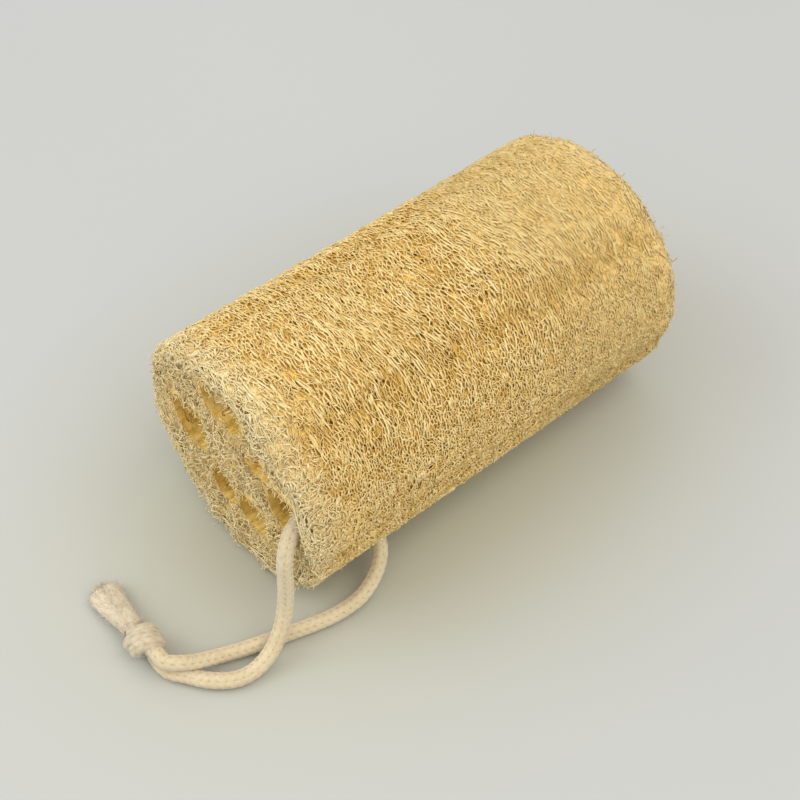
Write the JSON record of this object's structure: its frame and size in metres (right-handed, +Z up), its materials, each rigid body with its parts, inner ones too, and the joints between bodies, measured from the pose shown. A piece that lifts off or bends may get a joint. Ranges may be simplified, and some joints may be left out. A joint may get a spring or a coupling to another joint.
{
  "type": "natural loofah sponge",
  "caption": "Cylindrical section of dried loofah gourd lying on its side, with a raised fibre net, seed canals through it and a knotted cotton hanging cord.",
  "frame": {"origin": "on the surface that the loofah lies on, under the middle of the loofah's box without its cord", "axes": "+Y along the loofah from the end with the cord to the other end, +X to the right seen from the cord end, +Z up"},
  "size_m": [0.0813, 0.1885, 0.0765],
  "materials": {
    "loofah_fibre": "matte",
    "cotton_cord": "matte"
  },
  "bodies": {
    "root": {"loofah": "loofah_fibre", "cord_loop": "cotton_cord", "cord_knot": "cotton_cord", "cord_tails": "cotton_cord"}
  },
  "joints": []
}
